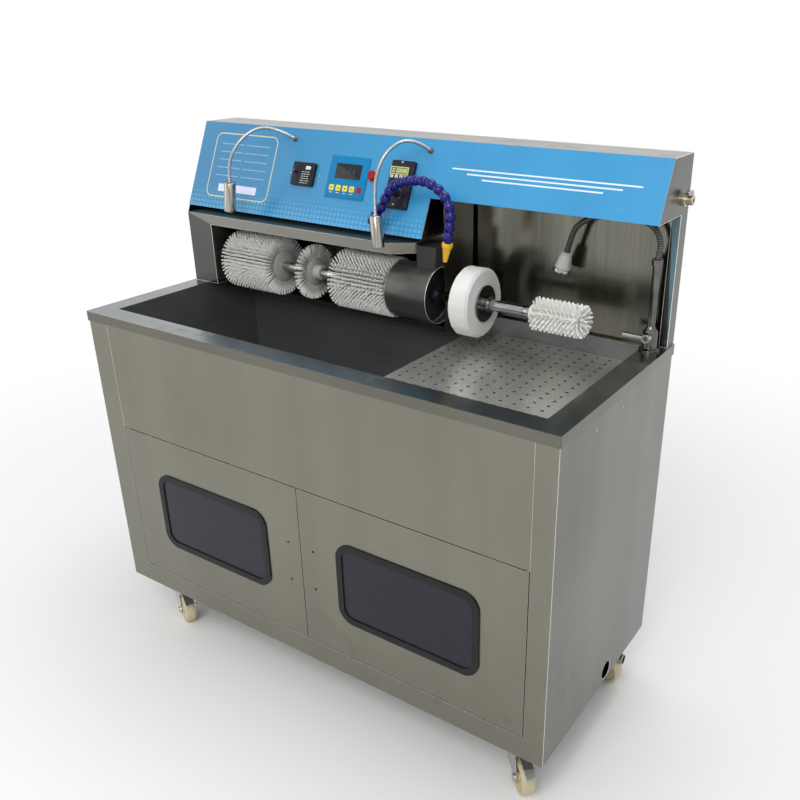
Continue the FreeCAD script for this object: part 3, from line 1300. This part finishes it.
def faucet_neck():
    """The bent spiral neck, free to swing on the riser."""
    return tube(neck_route(), NECK_R)


def spray_head():
    """The spray head: collar, flared face and a ring of prongs."""
    route = neck_route()
    lean = (route[-1] - route[-2]).normalize()
    length = SPRAY_L + SPRAY_FACE_T
    profile = [(0, 0), (SPRAY_COLLAR_R, 0), (SPRAY_COLLAR_R, SPRAY_L / 2), (SPRAY_COLLAR_R - SHEET, SPRAY_L),
               (SPRAY_FACE_R, SPRAY_L), (SPRAY_FACE_R, length), (0, length)]
    head = lathe(profile, route[-1], lean)
    across = lean.cross(vec(0, 1, 0)).normalize()
    upright = lean.cross(across)
    pieces = [head]
    for prong in range(SPRAY_PRONGS):
        angle = 2 * math.pi * prong / SPRAY_PRONGS
        spoke = across * math.cos(angle) + upright * math.sin(angle)
        foot = route[-1] + lean * length + spoke * (SPRAY_FACE_R - 2 * PRONG_R)
        pieces.append(rod(foot - lean * PRONG_R, foot + lean * PRONG_L, PRONG_R))
    return fuse(pieces)


def side_valve():
    """The small cock on the right cheek with its nut and stem."""
    start = HEAD_HALF_W
    wall = vec(start, SIDE_VALVE_Y, SIDE_VALVE_Z)
    nut = rod(wall, vec(start + SIDE_NUT_T, SIDE_VALVE_Y, SIDE_VALVE_Z), SIDE_NUT_R)
    body = rod(wall, vec(start + SIDE_REACH, SIDE_VALVE_Y, SIDE_VALVE_Z), SIDE_VALVE_R)
    stem_x = start + (SIDE_NUT_T + SIDE_REACH) / 2
    stem = rod(vec(stem_x, SIDE_VALVE_Y, SIDE_VALVE_Z),
               vec(stem_x, SIDE_VALVE_Y, SIDE_VALVE_Z + 2 * SIDE_VALVE_R), SIDE_STEM_R)
    bore = rod(vec(start + SIDE_REACH - SIDE_BORE_L, SIDE_VALVE_Y, SIDE_VALVE_Z),
               vec(start + SIDE_REACH + OVERRUN, SIDE_VALVE_Y, SIDE_VALVE_Z), SIDE_BORE_R)
    return fuse([nut, body, stem]).cut(bore)


def side_valve_handle():
    """The lever handle that turns on the cock's stem."""
    stem_x = HEAD_HALF_W + (SIDE_NUT_T + SIDE_REACH) / 2
    low = SIDE_VALVE_Z + SIDE_VALVE_R + SEAM
    high = SIDE_VALVE_Z + 2 * SIDE_VALVE_R
    hub = rod(vec(stem_x, SIDE_VALVE_Y, low), vec(stem_x, SIDE_VALVE_Y, high), SIDE_STEM_R + SHEET + SHEET)
    bore = rod(vec(stem_x, SIDE_VALVE_Y, low - OVERRUN), vec(stem_x, SIDE_VALVE_Y, high + OVERRUN),
               SIDE_STEM_R + RUN_CLEAR)
    middle = (low + high) / 2
    arm = rod(vec(stem_x, SIDE_VALVE_Y, middle), vec(stem_x, SIDE_VALVE_Y - SIDE_HANDLE_L, middle),
              SIDE_HANDLE_R)
    return hub.fuse(arm).cut(bore)


def place_caster(shape, name):
    """Turn a local caster piece to its heading and set it under its corner."""
    x, y = caster_places()[name]
    shape.rotate(vec(0, 0, 0), vec(0, 0, 1), CASTER_ANGLES[name])
    shape.translate(vec(x, y, 0))
    return shape


def caster_fork(name):
    """A pressed fork: swivel race, crown, two legs, axle and pedal ears."""
    inner = WHEEL_HUB_W / 2 + FORK_GAP
    outer = inner + FORK_SHEET
    race = rod(vec(0, 0, CROWN_TOP), vec(0, 0, FORK_TOP), RACE_R)
    crown = rounded_slab(2 * RACE_R, 2 * outer, FORK_SHEET, CROWN_TOP - FORK_SHEET, CROWN_TOP)
    legs = []
    for low, high in ((-outer, -inner), (inner, outer)):
        outline = [(-RACE_R, CROWN_TOP), (-RACE_R / 2, WHEEL_R + WHEEL_HUB_R),
                   (CASTER_TRAIL - FORK_BOSS_R, WHEEL_R), (CASTER_TRAIL + FORK_BOSS_R, WHEEL_R),
                   (PEDAL_X + PEDAL_KNUCKLE_R, CROWN_TOP - FORK_BOSS_R),
                   (PEDAL_X + PEDAL_KNUCKLE_R, CROWN_TOP)]
        leg = prism(outline, "y", low, high)
        boss = rod(vec(CASTER_TRAIL, low, WHEEL_R), vec(CASTER_TRAIL, high, WHEEL_R), FORK_BOSS_R)
        legs.append(leg.fuse(boss))
    axle = rod(vec(CASTER_TRAIL, -outer, WHEEL_R), vec(CASTER_TRAIL, outer, WHEEL_R), AXLE_R)
    heads = [rod(vec(CASTER_TRAIL, y, WHEEL_R), vec(CASTER_TRAIL, y + math.copysign(AXLE_HEAD_T, y), WHEEL_R),
                 AXLE_HEAD_R) for y in (-outer, outer)]
    fork = fuse([race, crown] + legs + [axle] + heads)
    bore = rod(vec(0, 0, 0), vec(0, 0, FORK_TOP + OVERRUN), KING_PIN_R + RUN_CLEAR)
    fork = fork.cut(bore.common(block(-RACE_R, RACE_R, -RACE_R, RACE_R, CROWN_TOP - 2 * FORK_SHEET,
                                      FORK_TOP + OVERRUN)))
    if name.startswith("front"):
        pin_z = CROWN_TOP - PEDAL_DROP
        fork = fork.fuse(rod(vec(PEDAL_X, -outer, pin_z), vec(PEDAL_X, outer, pin_z), PEDAL_PIN_R))
    return place_caster(fork, name)


def caster_wheel(name):
    """A crowned wheel with dished sides and a hub running on the axle."""
    half = WHEEL_W / 2
    hub = WHEEL_HUB_W / 2
    dish = half - WHEEL_DISH_DEPTH
    bore = AXLE_R + RUN_CLEAR
    profile = [(bore, -hub), (WHEEL_HUB_R, -hub), (WHEEL_HUB_R, -dish), (WHEEL_DISH_R, -dish),
               (WHEEL_DISH_R + WHEEL_CROWN, -half), (WHEEL_R - WHEEL_CROWN, -half), (WHEEL_R, -half / 2),
               (WHEEL_R, half / 2), (WHEEL_R - WHEEL_CROWN, half), (WHEEL_DISH_R + WHEEL_CROWN, half),
               (WHEEL_DISH_R, dish), (WHEEL_HUB_R, dish), (WHEEL_HUB_R, hub), (bore, hub)]
    wheel = lathe(profile, vec(CASTER_TRAIL, 0, WHEEL_R), vec(0, 1, 0))
    return place_caster(wheel, name)


def caster_brake(name):
    """The foot pedal on a pin between the fork's ears."""
    pin_z = CROWN_TOP - PEDAL_DROP
    half = PEDAL_W / 2
    knuckle = rod(vec(PEDAL_X, -half, pin_z), vec(PEDAL_X, half, pin_z), PEDAL_KNUCKLE_R)
    arm = folded([(PEDAL_X, pin_z), (PEDAL_REACH - PEDAL_FALL, pin_z - PEDAL_FALL / 2),
                  (PEDAL_REACH, pin_z - PEDAL_FALL)], "y", -half, half, PEDAL_T)
    bore = rod(vec(PEDAL_X, -PEDAL_W, pin_z), vec(PEDAL_X, PEDAL_W, pin_z), PEDAL_PIN_R + RUN_CLEAR)
    return place_caster(fuse([knuckle, arm]).cut(bore), name)


def all_pieces():
    """Every node's name and shape."""
    pieces = {
        "front_frame": front_frame(),
        "apron_panel": apron_panel(),
        "left_side_panel": side_panel(-1),
        "right_side_panel": side_panel(1),
        "rear_panels": rear_panels(),
        "floor_pan": floor_pan(),
        "caster_brackets": caster_brackets(),
        "worktop_rim": worktop_rim(),
        "sink_basin": sink_basin(),
        "perforated_tray": perforated_tray(),
        "drain_fitting": drain_fitting(),
        "door_hinges": door_hinges(),
        "left_door": door(-1),
        "right_door": door(1),
        "left_gasket": gasket(-1),
        "right_gasket": gasket(1),
        "left_window": window_pane(-1),
        "right_window": window_pane(1),
        "head_shell": head_shell(),
        "control_face": control_face(),
        "hood_frame": hood_frame(),
        "splash_back": splash_back(),
        "brush_shelf": brush_shelf(),
        "shaft_bearings": shaft_bearings(),
        "drive_shaft": drive_shaft(),
        "roller_brushes": roller_brushes(),
        "disc_brush": disc_brush(),
        "felt_wheel": felt_wheel(),
        "bottle_brush": bottle_brush(),
        "motor": motor(),
        "motor_cover": motor_cover(),
        "terminal_box": terminal_box(),
        "breaker_body": breaker_body(),
        "breaker_toggle": breaker_toggle(),
        "control_board": control_board(),
        "push_button": push_button(),
        "speed_controller": speed_controller(),
        "control_knob": control_knob(),
        "face_screws": face_screws(),
        "hose_base": hose_base(),
        "segmented_hose": segmented_hose(),
        "hose_nozzle": hose_nozzle(),
        "faucet_body": faucet_body(),
        "faucet_lever": faucet_lever(),
        "faucet_neck": faucet_neck(),
        "spray_head": spray_head(),
        "side_valve": side_valve(),
        "side_valve_handle": side_valve_handle(),
        "left_lamp": lamp(LEFT_LAMP_X, LEFT_LAMP_ANGLE, LEFT_LAMP_SHARE),
        "right_lamp": lamp(RIGHT_LAMP_X, RIGHT_LAMP_ANGLE, RIGHT_LAMP_SHARE),
    }
    for name in CASTER_ANGLES:
        pieces[name + "_fork"] = caster_fork(name)
        pieces[name + "_wheel"] = caster_wheel(name)
        if name.startswith("front"):
            pieces[name + "_brake"] = caster_brake(name)
    return pieces


def main():
    os.makedirs("parts", exist_ok=True)
    for name, shape in all_pieces().items():
        shape.exportStep("parts/" + name + ".step")


main()
